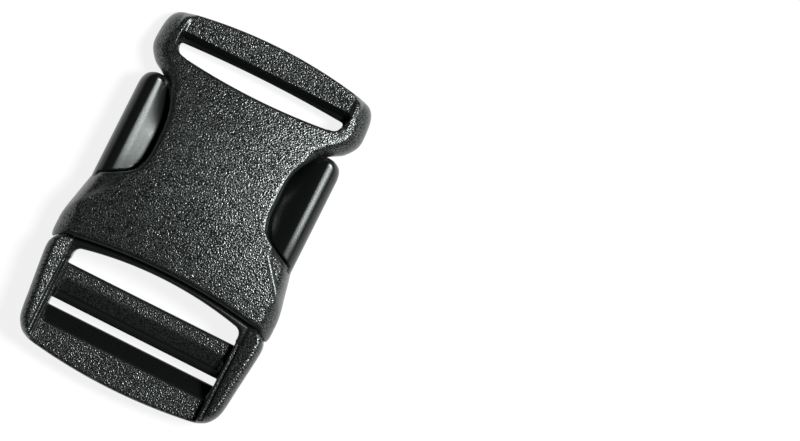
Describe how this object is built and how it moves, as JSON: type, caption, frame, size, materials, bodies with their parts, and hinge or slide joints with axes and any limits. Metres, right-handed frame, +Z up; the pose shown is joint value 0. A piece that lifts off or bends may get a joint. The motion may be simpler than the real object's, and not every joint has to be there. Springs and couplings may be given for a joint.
{
  "type": "side release buckle",
  "caption": "Fastened side release buckle for webbing: a hollow socket with one bar, and a plug with sprung side arms and a strap adjuster.",
  "frame": {"origin": "below the middle of the fastened buckle, on its flat underside", "axes": "+Y along the strap towards the socket's bar, +Z up out of the grained face, +X to the right"},
  "size_m": [0.034, 0.0536, 0.0092],
  "materials": {
    "socket_plastic": "black, moulded grain on the panel and bar, satin on the rims and slopes",
    "plug_plastic": "black, moulded grain on the rails and bars, satin on the finger pads and slopes"
  },
  "bodies": {
    "root": {"socket": "socket_plastic", "plug": "plug_plastic"}
  },
  "joints": []
}
